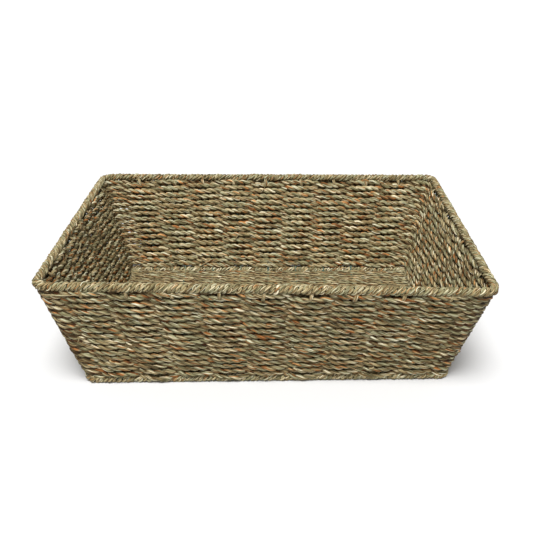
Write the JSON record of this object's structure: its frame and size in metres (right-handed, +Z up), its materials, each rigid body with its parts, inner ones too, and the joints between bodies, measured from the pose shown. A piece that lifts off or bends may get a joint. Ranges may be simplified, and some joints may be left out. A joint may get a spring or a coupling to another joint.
{
  "type": "bread basket",
  "caption": "Rectangular open basket with sloping sides, woven from seagrass rope round wire stakes, with a rope-wrapped rim and base.",
  "frame": {"origin": "on the ground, under the middle of the basket", "axes": "+Z up; X along the long sides; -Y towards the front long side"},
  "size_m": [0.409, 0.319, 0.1135],
  "materials": {
    "wall_rope": "matte",
    "floor_rope": "matte",
    "wrap_rope": "matte",
    "frame_wire": "satin"
  },
  "bodies": {
    "root": {"rim_wire": "frame_wire", "base_wire": "frame_wire", "rim_wrap": "wrap_rope", "base_wrap": "wrap_rope", "rib_1": "frame_wire", "rib_2": "frame_wire", "rib_3": "frame_wire", "rib_4": "frame_wire", "rib_5": "frame_wire", "rib_6": "frame_wire", "rib_7": "frame_wire", "rib_8": "frame_wire", "rib_9": "frame_wire", "stake_left_1": "frame_wire", "stake_left_2": "frame_wire", "stake_left_3": "frame_wire", "stake_left_4": "frame_wire", "stake_left_5": "frame_wire", "stake_left_6": "frame_wire", "stake_left_7": "frame_wire", "stake_right_1": "frame_wire", "stake_right_2": "frame_wire", "stake_right_3": "frame_wire", "stake_right_4": "frame_wire", "stake_right_5": "frame_wire", "stake_right_6": "frame_wire", "stake_right_7": "frame_wire", "corner_post_front_left": "frame_wire", "corner_post_front_right": "frame_wire", "corner_post_back_right": "frame_wire", "corner_post_back_left": "frame_wire", "weave_course_1": "wall_rope", "weave_course_2": "wall_rope", "weave_course_3": "wall_rope", "weave_course_4": "wall_rope", "weave_course_5": "wall_rope", "weave_course_6": "wall_rope", "weave_course_7": "wall_rope", "weave_course_8": "wall_rope", "weave_course_9": "wall_rope", "weave_course_10": "wall_rope", "weave_course_11": "wall_rope", "weave_course_12": "wall_rope", "weave_course_13": "wall_rope", "weave_course_14": "wall_rope", "weave_course_15": "wall_rope", "floor_strip_1": "floor_rope", "floor_strip_2": "floor_rope", "floor_strip_3": "floor_rope", "floor_strip_4": "floor_rope", "floor_strip_5": "floor_rope", "floor_strip_6": "floor_rope", "floor_strip_7": "floor_rope", "floor_strip_8": "floor_rope", "floor_strip_9": "floor_rope", "floor_strip_10": "floor_rope", "floor_strip_11": "floor_rope", "floor_strip_12": "floor_rope"}
  },
  "joints": []
}
